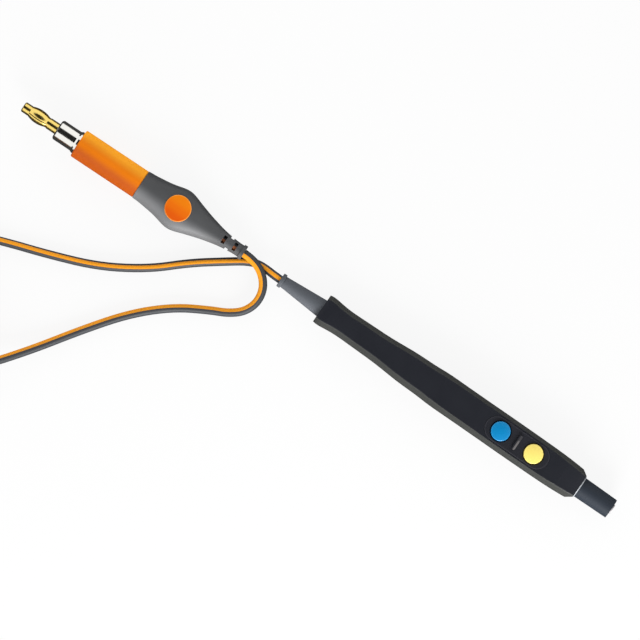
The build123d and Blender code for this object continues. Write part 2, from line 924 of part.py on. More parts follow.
def plug_barrel():
    """Bright sleeve round the pin's foot, with a rim against the tube."""
    outside = barrel_diameter / 2
    bore = barrel_bore / 2
    rim = barrel_rim_diameter / 2
    return turned(
        [
            (barrel_front_x, bore),
            (barrel_front_x, outside - barrel_chamfer),
            (barrel_front_x + barrel_chamfer, outside),
            (tube_front_x - barrel_rim_length, outside),
            (tube_front_x - barrel_rim_length / 2, rim),
            (tube_front_x, rim),
            (tube_front_x, outside),
            (barrel_rear_x, outside),
            (barrel_rear_x, bore),
        ],
        0,
    )


def barrel_insulator():
    return rod_x(barrel_front_x + insulator_recess, barrel_rear_x, barrel_bore, pin_shank_diameter, 0)


def barrel_terminal():
    """Ring against the barrel's rear end, with a lug for its wire."""
    ring = rod_x(barrel_rear_x, barrel_rear_x + terminal_thickness, barrel_diameter, terminal_bore, 0)
    lug_floor = terminal_bore / 2
    lug = Box(terminal_lug_length, terminal_lug_width, terminal_thickness)
    return ring + Pos(barrel_rear_x + terminal_lug_length / 2, 0, lug_floor + terminal_thickness / 2) * lug


def plug_pin():
    """Turned pin: a hollow head, a neck for the spring leaves, a stepped foot and a shank with a solder cup."""
    tip = pin_tip_x
    head_bore = pin_head_bore / 2
    head = pin_diameter / 2
    neck = pin_neck_diameter / 2
    base = head + pin_base_step / 2
    shank = pin_shank_diameter / 2
    shank_end = barrel_rear_x + pin_tail
    cup = wire_diameter / 2
    return turned(
        [
            (tip + pin_head_bore_depth, 0),
            (tip + pin_head_bore_depth, head_bore),
            (tip, head_bore),
            (tip, head - pin_head_chamfer),
            (tip + pin_head_chamfer, head),
            (cage_front_x, head),
            (cage_front_x, neck),
            (cage_rear_x, neck),
            (cage_rear_x, base),
            (barrel_front_x + insulator_recess, base),
            (barrel_front_x + insulator_recess, shank),
            (shank_end, shank),
            (shank_end, cup),
            (shank_end - pin_cup_bore_depth, cup),
            (shank_end - pin_cup_bore_depth, 0),
        ],
        0,
    )


def pin_cage():
    """Spring cage on the pin's neck: two rings joined by bowed leaves."""
    ring = pin_diameter / 2
    neck = pin_neck_diameter / 2
    bulge = cage_bulge_diameter / 2
    bow_front = cage_front_x + cage_ring_length
    bow_rear = cage_rear_x - cage_ring_length
    middle = (bow_front + bow_rear) / 2
    outline = (
        Polyline((bow_front, ring - cage_thickness), (bow_front, neck), (cage_front_x, neck), (cage_front_x, ring))
        + Line((cage_front_x, ring), (bow_front, ring))
        + ThreePointArc((bow_front, ring), (middle, bulge), (bow_rear, ring))
        + Polyline((bow_rear, ring), (cage_rear_x, ring), (cage_rear_x, neck), (bow_rear, neck))
        + Line((bow_rear, neck), (bow_rear, ring - cage_thickness))
        + ThreePointArc(
            (bow_rear, ring - cage_thickness),
            (middle, bulge - cage_thickness),
            (bow_front, ring - cage_thickness),
        )
    )
    cage = revolve(make_face(outline), Axis.X)
    slot = Pos(middle, 0, bulge) * Box(bow_rear - bow_front, cage_slot_width, 2 * (bulge - neck))
    for index in range(cage_leaves):
        cage -= Rot(cage_slot_turn_deg + 360 * index / cage_leaves, 0, 0) * slot
    return cage


def plug_wires():
    """The plug's two conductors, from the cord to the pin's cup and to the terminal's lug."""
    radius = wire_diameter / 2
    start = -plug_jacket_length
    spread_end = start - plug_clamp_length
    rise = -grip_length
    shank_end = barrel_rear_x + pin_tail
    lug_end = barrel_rear_x + terminal_lug_length
    lug_height = terminal_bore / 2 - radius
    to_pin = [
        (start, -wire_spread, 0),
        (spread_end, -wire_spread, 0),
        (rise, 0, 0),
        (shank_end - pin_cup_bore_depth, 0, 0),
    ]
    to_barrel = [
        (start, wire_spread, 0),
        (spread_end, wire_spread, 0),
        (rise, wire_spread / 2, lug_height),
        (lug_end - wire_diameter, wire_spread / 2, lug_height),
    ]
    bends = [wire_diameter * 2] * 2
    return {
        "pin_wire": tube_along(to_pin, bends, wire_diameter),
        "barrel_wire": tube_along(to_barrel, bends, wire_diameter),
    }


def plug_cord_end():
    return rod_x(-plug_jacket_length, 0, cord_diameter, 0, 0)


def plug_clamp():
    rear = -plug_jacket_length
    return rod_x(rear, rear + plug_clamp_length, plug_clamp_diameter, cord_diameter, 0)


# Free cord
def cord_leg(route):
    """One leg of the cord as a plain tube."""
    radii = bend_radii(route)
    leg = tube_along(route, radii, cord_diameter)
    section = math.pi * (cord_diameter / 2) ** 2
    print("leg length", round(leg.volume / section, 1), "radii", [round(radius, 1) for radius in radii])
    return leg


def coil_outline(low, high, inner, outer):
    """The cross-section of the wound turns, as points of (radius, z)."""
    return [(inner, low), (outer, low), (outer, high), (inner, high)]


def cord_coil():
    """The outer form of the wound turns."""
    low = tie_thickness
    ring = turned_upright(coil_outline(low, low + coil_height, coil_inner_radius, coil_outer_radius), 0)
    ring = fillet(ring.edges().filter_by(GeomType.CIRCLE), coil_edge_radius)
    return Pos(coil_centre_x, coil_centre_y, 0) * ring


def cord_tie():
    """Strap round the coil's turns at one place."""
    low = tie_thickness
    inner = coil_inner_radius
    reach = coil_outer_radius + tie_thickness
    height = coil_height + 2 * tie_thickness
    wrap = turned_upright(coil_outline(0, height, inner - tie_thickness, reach), 0)
    wrap -= turned_upright(coil_outline(low, low + coil_height, inner, coil_outer_radius), 0)
    strap = wrap & (Pos(reach / 2, 0, height / 2) * Box(reach, tie_width, height))
    return Pos(coil_centre_x, coil_centre_y, 0) * Rot(0, 0, tie_angle_deg) * strap


def write_parts():
    """Build every piece and write one file for each."""
    os.makedirs("parts", exist_ok=True)
    upper, lower = casing_shells()
    places = button_places()
    pieces = {
        "upper_shell": upper,
        "lower_shell": lower,
        "keypad_panel": keypad_panel(),
        "circuit_board": circuit_board(),
        "board_diodes": board_diodes(),
        "chuck_tube": chuck_tube(),
        "socket_collar": socket_collar(),
        "contact_sleeve": contact_sleeve(),
        "contact_ring": contact_ring(),
        "nose_seal": nose_seal(),
        "cord_boot": cord_boot(),
        "handle_cord_end": handle_cord_end(),
        "cord_clamp": cord_clamp(),
        "board_lead": board_lead(),
        "cord_handle_leg": cord_leg(handle_leg_route),
        "cord_plug_leg": cord_leg(plug_leg_route),
        "cord_coil": cord_coil(),
        "cord_tie": cord_tie(),
    }
    for name, x in places.items():
        pieces[name] = push_button(x)
        pieces[name.replace("button", "dome")] = switch_dome(x)
    pieces.update(hand_wires())
    plug_place = Location((plug_end_x, plug_end_y, plug_axis_height), (0, 0, plug_turn_deg))
    plug_pieces = {
        "plug_grip": plug_grip(),
        "grip_dot": grip_dot(),
        "plug_tube": plug_tube(),
        "plug_barrel": plug_barrel(),
        "barrel_insulator": barrel_insulator(),
        "barrel_terminal": barrel_terminal(),
        "plug_pin": plug_pin(),
        "pin_cage": pin_cage(),
        "plug_cord_end": plug_cord_end(),
        "plug_clamp": plug_clamp(),
        **plug_wires(),
    }
    for name, piece in plug_pieces.items():
        pieces[name] = plug_place * piece
    for name, piece in pieces.items():
        piece.label = name
        export_step(piece, f"parts/{name}.step")


write_parts()
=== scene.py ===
"""Looks of a two-button electrosurgical pencil, its cord and its coaxial plug.

Lengths are in metres, apart from the cord's route, which is in millimetres. The hand piece lies along X with
its chuck towards +X and its keypad up, and its near side faces -Y. The plug lies beyond the cord's boot, and
one free cord joins the two.
"""

import logging
import math
from dataclasses import dataclass, field
from enum import Enum
from typing import Protocol

import bpy
from mathutils import Matrix, Vector

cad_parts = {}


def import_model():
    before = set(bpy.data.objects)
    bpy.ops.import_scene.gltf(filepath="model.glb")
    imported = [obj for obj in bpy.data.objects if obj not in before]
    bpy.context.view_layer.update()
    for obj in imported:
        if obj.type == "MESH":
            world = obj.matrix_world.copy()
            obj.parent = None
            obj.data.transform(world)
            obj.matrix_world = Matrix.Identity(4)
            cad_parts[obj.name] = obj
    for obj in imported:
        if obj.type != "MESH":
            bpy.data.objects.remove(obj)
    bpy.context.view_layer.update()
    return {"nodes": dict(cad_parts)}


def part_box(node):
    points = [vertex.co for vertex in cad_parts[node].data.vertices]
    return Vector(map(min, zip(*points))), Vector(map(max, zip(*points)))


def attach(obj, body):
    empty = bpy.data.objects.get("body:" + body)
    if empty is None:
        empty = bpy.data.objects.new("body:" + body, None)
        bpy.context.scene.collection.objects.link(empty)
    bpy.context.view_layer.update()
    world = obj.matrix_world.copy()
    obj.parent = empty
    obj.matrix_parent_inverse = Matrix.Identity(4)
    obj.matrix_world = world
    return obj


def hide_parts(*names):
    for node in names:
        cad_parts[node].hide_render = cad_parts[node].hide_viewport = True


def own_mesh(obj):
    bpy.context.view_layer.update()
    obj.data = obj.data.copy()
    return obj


log = logging.getLogger("pencil")

MM = 0.001
SCREEN_WHITE = 255

# A noise's middle value, and how many finer layers a broad and a fine one have.
EVEN = 0.5
BROAD = 2
FINE = 3

# The numbers of a Mix node's colour sockets.
MIX_FIRST = 6
MIX_SECOND = 7
MIX_RESULT = 2

# Where the camera and the key light aim.
VIEW_MIDDLE = (-0.06, -0.0044, 0.006)

Point = tuple[float, float, float]
Spot = tuple[float, float]
Colour = tuple[float, float, float]
Nodes = dict[str, bpy.types.Object]


def linear_part(part: float) -> float:
    """Turn one part of a screen colour, 0 to 1, into its linear value by the sRGB curve."""
    return part / 12.92 if part <= 0.04045 else ((part + 0.055) / 1.055) ** 2.4


def linear(colour: Colour) -> tuple[float, float, float, float]:
    """Turn a screen colour of 0 to 255 into a scene colour.

    Args:
        colour: Red, green and blue as a screen shows them.

    Returns:
        The linear colour with an alpha of 1.
    """
    red, green, blue = [linear_part(part / SCREEN_WHITE) for part in colour]
    return red, green, blue, 1.0


class Wire:
    """An output socket whose sums, products and comparisons add Math nodes."""

    def __init__(self, graph: "Graph", socket: bpy.types.NodeSocket) -> None:
        """Keep the socket and the graph that it belongs to."""
        self.graph = graph
        self.socket = socket

    def maths(self, operation: str, *values: "float | Wire") -> "Wire":
        """Add one Math node.

        Args:
            operation: The node's operation.
            values: What its sockets get, in order.

        Returns:
            The node's result.
        """
        return self.graph.node("ShaderNodeMath", {"operation": operation}, dict(enumerate(values)))

    def __add__(self, other: "float | Wire") -> "Wire":
        """Add."""
        return self.maths("ADD", self, other)

    def __radd__(self, other: float) -> "Wire":
        """Add to a number."""
        return self.maths("ADD", other, self)

    def __sub__(self, other: "float | Wire") -> "Wire":
        """Subtract."""
        return self.maths("SUBTRACT", self, other)

    def __rsub__(self, other: float) -> "Wire":
        """Subtract from a number."""
        return self.maths("SUBTRACT", other, self)

    def __mul__(self, other: "float | Wire") -> "Wire":
        """Multiply."""
        return self.maths("MULTIPLY", self, other)

    def __rmul__(self, other: float) -> "Wire":
        """Multiply a number."""
        return self.maths("MULTIPLY", other, self)

    def __truediv__(self, other: "float | Wire") -> "Wire":
        """Divide."""
        return self.maths("DIVIDE", self, other)

    def __pow__(self, other: "float | Wire") -> "Wire":
        """Raise to a power."""
        return self.maths("POWER", self, other)

    def __abs__(self) -> "Wire":
        """Drop the sign."""
        return self.maths("ABSOLUTE", self)

    def sine(self) -> "Wire":
        """Take the sine."""
        return self.maths("SINE", self)

    def cosine(self) -> "Wire":
        """Take the cosine."""
        return self.maths("COSINE", self)

    def at_least(self, low: float) -> "Wire":
        """Raise smaller values to a lowest one."""
        return self.maths("MAXIMUM", self, low)

    def rise(self, low: "float | Wire", high: "float | Wire") -> "Wire":
        """Ease from 0 at low to 1 at high.

        Args:
            low: Where the rise starts.
            high: Where it ends.

        Returns:
            A smooth step between the two.
        """
        ease = {"interpolation_type": "SMOOTHSTEP"}
        return self.graph.node("ShaderNodeMapRange", ease, {"Value": self, "From Min": low, "From Max": high})

    def past(self, edge: "float | Wire", blend: float) -> "Wire":
        """Ease from 0 before an edge to 1 past it, over a blend to each side."""
        return self.rise(edge - blend, edge + blend)


class Graph:
    """A node tree that is built by one method."""

    def __init__(self, tree: bpy.types.NodeTree) -> None:
        """Keep the tree and empty it."""
        self.tree = tree
        tree.nodes.clear()

    def node(
        self, kind: str, settings: dict | None = None, inputs: dict | None = None, output: int | str = 0
    ) -> Wire | None:
        """Add a node.

        Args:
            kind: The node's type.
            settings: What is set on the node before its sockets.
            inputs: Values or wires by socket name or number.
            output: Which output the result is.

        Returns:
            The output as a wire, or nothing for an output node.
        """
        made = self.tree.nodes.new(kind)
        for name, value in (settings or {}).items():
            setattr(made, name, value)
        for key, value in (inputs or {}).items():
            if isinstance(value, Wire):
                self.tree.links.new(value.socket, made.inputs[key])
            else:
                made.inputs[key].default_value = value
        return Wire(self, made.outputs[output]) if len(made.outputs) else None


class Shader(Graph):
    """One material's nodes."""

    def __init__(self, name: str) -> None:
        """Start an empty material."""
        self.material = bpy.data.materials.new(name)
        self.material.use_nodes = True
        super().__init__(self.material.node_tree)

    def place(self) -> Wire:
        """Give the place on the piece, in metres."""
        return self.node("ShaderNodeTexCoord", output="Object")

    def facing(self) -> Wire:
        """Give the way that the surface faces."""
        return self.node("ShaderNodeTexCoord", output="Normal")

    def split(self, vector: Wire) -> tuple[Wire, Wire, Wire]:
        """Split a vector into its three numbers."""
        x, y, z = self.node("ShaderNodeSeparateXYZ", {}, {0: vector}).socket.node.outputs
        return Wire(self, x), Wire(self, y), Wire(self, z)

    def join(self, x: float | Wire, y: float | Wire, z: float | Wire) -> Wire:
        """Join three numbers into a vector."""
        return self.node("ShaderNodeCombineXYZ", {}, {0: x, 1: y, 2: z})

    def distance(self, place: Wire, spot: Spot) -> Wire:
        """Give the distance from an upright line through a spot."""
        x, y, _ = self.split(place)
        return ((x - spot[0]) ** 2 + (y - spot[1]) ** 2) ** 0.5

    def noise(self, place: Wire, size: float, layers: int = BROAD) -> Wire:
        """Give a soft random value.

        Args:
            place: Where it is read.
            size: How large its patches are, in metres.
            layers: How many finer layers it has.

        Returns:
            A value of 0 to 1, mostly near a half.
        """
        return self.node("ShaderNodeTexNoise", {}, {"Vector": place, "Scale": 1 / size, "Detail": layers})

    def shaded(self, colour: Colour, shade: Wire) -> Wire:
        """Scale a colour by a value."""
        settings = {"operation": "SCALE"}
        return self.node("ShaderNodeVectorMath", settings, {0: linear(colour)[:3], "Scale": shade})

    def mixed(self, mask: Wire, first: Wire, second: Wire) -> Wire:
        """Go from one colour to another where a mask rises."""
        inputs = {0: mask, MIX_FIRST: first, MIX_SECOND: second}
        return self.node("ShaderNodeMix", {"data_type": "RGBA"}, inputs, MIX_RESULT)

    def bump(self, height: Wire, depth: float) -> Wire:
        """Turn a height of 0 to 1 into a normal, depth metres deep."""
        return self.node("ShaderNodeBump", {}, {"Height": height, "Distance": depth, "Strength": 1.0})

    def finish(self, inputs: dict) -> bpy.types.Material:
        """Close the material with a Principled shader.

        Args:
            inputs: The shader's sockets by name.

        Returns:
            The finished material.
        """
        surface = self.node("ShaderNodeBsdfPrincipled", {}, inputs)
        self.node("ShaderNodeOutputMaterial", {}, {"Surface": surface})
        return self.material


class Look(Protocol):
    """Anything that builds a material of its own."""

    @property
    def name(self) -> str:
        """Give the material's name."""

    def material(self) -> bpy.types.Material:
        """Build the material."""


@dataclass(frozen=True)
class Moulded:
    """Moulded plastic or rubber with a fine grain and faint clouds in its colour."""

    name: str
    colour: Colour
    roughness: float
    grain: float = 0.25 * MM
    depth: float = 0.008 * MM
    mottle: float = 0.08
    cloud: float = 9 * MM
    coat: float = 0.0
    specular: float = 0.5
    cloud_dulling: float = 0.12
    grain_dulling: float = 0.08

    def tone(self, shader: Shader, place: Wire, shade: Wire) -> Wire:
        """Give the colour over the piece."""
        return shader.shaded(self.colour, shade)

    def relief(self, shader: Shader, place: Wire, grain: Wire) -> Wire:
        """Give the height over the piece."""
        return grain

    def lacquer(self, shader: Shader, place: Wire) -> float | Wire:
        """Give the weight of the clear coat over the piece."""
        return self.coat

    def material(self) -> bpy.types.Material:
        """Build the material.

        Returns:
            The finished material.
        """
        shader = Shader(self.name)
        place = shader.place()
        grain = shader.noise(place, self.grain, FINE)
        cloud = shader.noise(place, self.cloud)
        shade = 1 + (cloud - EVEN) * (2 * self.mottle) + (grain - EVEN) * self.mottle
        dulling = (cloud - EVEN) * self.cloud_dulling + (grain - EVEN) * self.grain_dulling
        return shader.finish(
            {
                "Base Color": self.tone(shader, place, shade),
                "Roughness": self.roughness + dulling,
                "Normal": shader.bump(self.relief(shader, place, grain), self.depth),
                "Coat Weight": self.lacquer(shader, place),
                "Specular IOR Level": self.specular,
            }
        )


@dataclass(frozen=True)
class Casing(Moulded):
    """The casing's moulding: paler on its sides than on its top, partly the sides' own textured finish and
    partly painted light, with the fine line where its halves meet.
    """

    # The sides' paler colour: partly their textured finish, partly painted light.
    textured_and_lit_side_colour: Colour = (57, 58, 56)
    side_until: float = 0.86
    top_from: float = 0.97
    seam_height: float = 5.9 * MM
    seam_width: float = 0.09 * MM
    seam_loss: float = 0.7
    seam_depth: float = 6.0

    def seam(self, shader: Shader, place: Wire) -> Wire:
        """Give 1 in the line and 0 away from it."""
        height = shader.split(place)[2]
        return 1 - abs(height - self.seam_height).rise(self.seam_width / 2, self.seam_width)

    def tone(self, shader: Shader, place: Wire, shade: Wire) -> Wire:
        """Blend the top's colour into the sides' paler colour, which is partly painted light, and darken it
        in the line.

        Args:
            shader: The material's nodes.
            place: The place on the piece.
            shade: How light the colours are.

        Returns:
            The colour over the piece.
        """
        shade = shade * (1 - self.seam_loss * self.seam(shader, place))
        # Faces that turn to the side get the paler colour, partly as painted light.
        top = shader.split(shader.facing())[2].rise(self.side_until, self.top_from)
        return shader.mixed(top, shader.shaded(self.textured_and_lit_side_colour, shade), shader.shaded(self.colour, shade))

    def relief(self, shader: Shader, place: Wire, grain: Wire) -> Wire:
        """Sink the surface in the line."""
        return grain - self.seam_depth * self.seam(shader, place)


@dataclass(frozen=True)
class Keypad(Moulded):
    """The keypad's moulding: a painted highlight along its outline and on its ridge, and painted shade round
    its holes.

    The ridge's painted highlight lies on its front, and there on its near half, which ends where the
    highlight starts to fade across the piece.
    """

    middle: float = 0.0
    half_length: float = 0.0
    half_width: float = 0.0
    edge_width: float = 0.4 * MM
    edge_blend: float = 0.15 * MM
    # The colour of the painted highlight along the outline.
    outline_highlight_colour: Colour = (44, 44, 51)
    # The ridge's painted highlight: pale on its front, fading towards its far half.
    ridge_highlight_colour: Colour = (96, 94, 98)
    ridge_coat: float = 0.4
    ridge_from: float = 12.8 * MM
    ridge_to: float = 12.95 * MM
    ridge_blend: float = 0.3 * MM
    highlight_until: float = 0.4 * MM
    shade_from: float = 1.4 * MM
    shade_loss: float = 0.8
    holes: tuple[Spot, ...] = ()
    rim_radius: float = 4.55 * MM
    rim_blend: float = 0.15 * MM
    # How much the painted shade darkens the rims of the holes.
    rim_shade_loss: float = 0.7

    def edge(self, shader: Shader, place: Wire) -> Wire:
        """Find the outline.

        Args:
            shader: The material's nodes.
            place: The place on the piece.

        Returns:
            1 along the outline and 0 inside it.
        """
        along, across, _ = shader.split(place)
        beyond = abs(along - self.middle) - (self.half_length - self.half_width)
        reach = (beyond.at_least(0) ** 2 + across**2) ** 0.5
        return reach.past(self.half_width - self.edge_width, self.edge_blend)

    def ridge(self, shader: Shader, place: Wire) -> Wire:
        """Find where the ridge carries its painted highlight.

        Args:
            shader: The material's nodes.
            place: The place on the piece.

        Returns:
            1 on the front of its near half, little on its far half, which is left in painted shade, and 0
            away from it.
        """
        along, across, height = shader.split(place)
        front = along.past(self.middle, self.ridge_blend)
        shaded_half = across.rise(self.highlight_until, self.shade_from)
        return height.rise(self.ridge_from, self.ridge_to) * front * (1 - self.shade_loss * shaded_half)

    def shaded_rims(self, shader: Shader, place: Wire) -> Wire:
        """Give 1 beside each button's hole, where shade is painted, and 0 away from them."""
        reaches = [shader.distance(place, hole) for hole in self.holes]
        return sum(1 - reach.past(self.rim_radius, self.rim_blend) for reach in reaches)

    def tone(self, shader: Shader, place: Wire, shade: Wire) -> Wire:
        """Paint the highlight along the outline and on the ridge, and the shade round the holes' rims.

        Args:
            shader: The material's nodes.
            place: The place on the piece.
            shade: How light the colours are.

        Returns:
            The colour over the piece.
        """
        # Painted shade round each button's hole.
        shade = shade * (1 - self.rim_shade_loss * self.shaded_rims(shader, place))
        edge, ridge = self.edge(shader, place), self.ridge(shader, place)
        # Painted highlight along the outline.
        tone = shader.mixed(edge, shader.shaded(self.colour, shade), shader.shaded(self.outline_highlight_colour, shade))
        # Painted highlight on the ridge's front, fading on its far half.
        return shader.mixed(ridge, tone, shader.shaded(self.ridge_highlight_colour, shade))

    def lacquer(self, shader: Shader, place: Wire) -> Wire:
        """Lay the clear coat on the ridge alone."""
        return self.ridge(shader, place) * self.ridge_coat


@dataclass(frozen=True)
class SideShaded(Moulded):
    """Moulded plastic or rubber with painted light and shade: its colour changes from one side to the other,
    as if one side were lit and the other in shade.
    """

    near_painted_colour: Colour = (188, 83, 4)
    far_painted_colour: Colour = (255, 166, 22)
    middle: float = -0.6 * MM
    reach: float = 4.2 * MM

    def tone(self, shader: Shader, place: Wire, shade: Wire) -> Wire:
        """Blend from the near side's colour over the middle's into the far side's, as painted light and
        shade.

        Args:
            shader: The material's nodes.
            place: The place on the piece.
            shade: How light the colours are.

        Returns:
            The colour over the piece.
        """
        across = shader.split(place)[1]
        near, mid, far = [
            shader.shaded(colour, shade) for colour in (self.near_painted_colour, self.colour, self.far_painted_colour)
        ]
        tone = shader.mixed(across.rise(self.middle - self.reach, self.middle), near, mid)
        return shader.mixed(across.rise(self.middle, self.middle + self.reach), tone, far)


@dataclass(frozen=True)
class Disc(SideShaded):
    """A let-in disc whose rim is lighter than its face, and whose face is painted deeper on one side and
    paler on the other as painted shade and light.
    """

    rim_colour: Colour = (255, 165, 70)
    centre: Spot = (0.0, 0.0)
    rim_radius: float = 5.3 * MM
    rim_blend: float = 0.25 * MM

    def tone(self, shader: Shader, place: Wire, shade: Wire) -> Wire:
        """Lighten the colour towards the rim."""
        rim = shader.distance(place, self.centre).past(self.rim_radius, self.rim_blend)
        return shader.mixed(rim, super().tone(shader, place, shade), shader.shaded(self.rim_colour, shade))


@dataclass(frozen=True)
class Turned:
    """Turned metal with fine rings round an axis along X, and faint stains."""

    name: str
    colour: Colour
    roughness: float
    ring: float = 0.12 * MM
    depth: float = 0.0015 * MM
    stain: float = 0.06
    stain_size: float = 3 * MM
    stain_dulling: float = 0.1
    ring_dulling: float = 0.06

    def material(self) -> bpy.types.Material:
        """Build the material.

        Returns:
            The finished material.
        """
        shader = Shader(self.name)
        place = shader.place()
        along = shader.split(place)[0]
        rings = shader.noise(shader.join(along, 0.0, 0.0), self.ring)
        stain = shader.noise(place, self.stain_size, FINE)
        shade = 1 + (stain - EVEN) * (2 * self.stain) + (rings - EVEN) * self.stain
        dulling = (stain - EVEN) * self.stain_dulling + (rings - EVEN) * self.ring_dulling
        return shader.finish(
            {
                "Base Color": shader.shaded(self.colour, shade),
                "Roughness": self.roughness + dulling,
                "Normal": shader.bump(rings, self.depth),
                "Metallic": 1.0,
            }
        )


@dataclass(frozen=True, kw_only=True)
class Sheath:
    """Soft cord sheath with a coloured stripe along it."""

    name: str
    colour: Colour = (58, 60, 64)
    stripe_colour: Colour = (250, 162, 26)
    stripe_blend: float = 0.03
    grain: float = 0.3 * MM
    grain_shade: float = 0.1
    depth: float = 0.006 * MM
    specular: float = 0.3

    def closed(
        self, shader: Shader, stripe: Wire, shade: Wire, grain: Wire, roughness: Wire
    ) -> bpy.types.Material:
        """Close the material.

        Args:
            shader: The material's nodes.
            stripe: 1 in the stripe and 0 beside it.
            shade: How light the colours are.
            grain: The height of the surface.
            roughness: How dull the surface is.

        Returns:
            The finished material.
        """
        plain, striped = shader.shaded(self.colour, shade), shader.shaded(self.stripe_colour, shade)
        return shader.finish(
            {
                "Base Color": shader.mixed(stripe, plain, striped),
                "Roughness": roughness,
                "Normal": shader.bump(grain, self.depth),
                "Specular IOR Level": self.specular,
            }
        )


@dataclass(frozen=True, kw_only=True)
class FreeSheath(Sheath):
    """The sheath of the free cord.

    Its stripe reads the tube's own attributes: a unit vector round the section and the distance along.
    """

    length: float
    stripe_from_deg: float = -88.0
    stripe_to_deg: float = 220.0
    half_width_from_deg: float = 27.0
    half_width_to_deg: float = 50.0
    darkest: float = 0.9
    cloud: float = 7 * MM
    cloud_shade: float = 0.1
    roughness: float = 0.5
    cloud_dulling: float = 0.15

    def turned(self, share: Wire, from_deg: float, to_deg: float) -> Wire:
        """Go from one angle to another over the cord's length, in radians."""
        return math.radians(from_deg) + share * math.radians(to_deg - from_deg)

    def material(self) -> bpy.types.Material:
        """Build the material.

        Returns:
            The finished material.
        """
        shader = Shader(self.name)
        place = shader.place()
        around = shader.node("ShaderNodeAttribute", {"attribute_name": "around"}, output="Vector")
        along = shader.node("ShaderNodeAttribute", {"attribute_name": "along"}, output="Fac")
        share = along / self.length
        middle = self.turned(share, self.stripe_from_deg, self.stripe_to_deg)
        edge = self.turned(share, self.half_width_from_deg, self.half_width_to_deg).cosine()
        first, second, _ = shader.split(around)
        nearness = first * middle.cosine() + second * middle.sine()
        grain = shader.noise(place, self.grain, FINE)
        cloud = shader.noise(place, self.cloud)
        shade = self.darkest + grain * self.grain_shade + cloud * self.cloud_shade
        roughness = self.roughness + (cloud - EVEN) * self.cloud_dulling
        return self.closed(shader, nearness.past(edge, self.stripe_blend), shade, grain, roughness)


@dataclass(frozen=True, kw_only=True)
class SheathEnd(Sheath):
    """The same sheath on a straight end, with its stripe placed from the piece's own axis."""

    axis_start: Point
    turn_deg: float
    stripe_deg: float
    half_width_deg: float
    darkest: float = 0.95
    roughness: float = 0.46
    grain_dulling: float = 0.08

    def material(self) -> bpy.types.Material:
        """Build the material.

        Returns:
            The finished material.
        """
        shader = Shader(self.name)
        place = shader.place()
        x, y, z = shader.split(place)
        slope = math.tan(math.radians(self.turn_deg))
        across = y - self.axis_start[1] - (x - self.axis_start[0]) * slope
        up = z - self.axis_start[2]
        reach = (across**2 + up**2) ** 0.5
        middle = math.radians(self.stripe_deg)
        nearness = (across * math.sin(middle) + up * math.cos(middle)) / reach
        edge = math.cos(math.radians(self.half_width_deg))
        grain = shader.noise(place, self.grain, FINE)
        shade = self.darkest + grain * self.grain_shade
        roughness = self.roughness + grain * self.grain_dulling
        return self.closed(shader, nearness.past(edge, self.stripe_blend), shade, grain, roughness)


@dataclass(frozen=True)
class Weave:
    """Woven strap with crossing threads, painted shade in their hollows, and a little lint."""

    name: str
    colour: Colour
    thread: float = 0.45 * MM
    depth: float = 0.12 * MM
    darkest: float = 0.7
    hollow_shade: float = 0.35
    lint: float = 0.9 * MM
    lint_layers: int = 4
    lint_shade: float = 0.2
    roughness: float = 0.82
    lint_dulling: float = 0.1

    def material(self) -> bpy.types.Material:
        """Build the material.

        Returns:
            The finished material.
        """
        shader = Shader(self.name)
        place = shader.place()
        x, y, z = shader.split(place)
        turn = 2 * math.pi / self.thread
        warp = (x * turn + z * turn).sine()
        weft = (y * turn - z * turn).sine()
        height = 0.5 + warp * weft * 0.5
        lint = shader.noise(place, self.lint, self.lint_layers)
        # The weave's hollows are painted darker: painted shade between the threads.
        shade = self.darkest + height * self.hollow_shade + lint * self.lint_shade
        return shader.finish(
            {
                "Base Color": shader.shaded(self.colour, shade),
                "Roughness": self.roughness + (lint - EVEN) * self.lint_dulling,
                "Normal": shader.bump(height, self.depth),
            }
        )


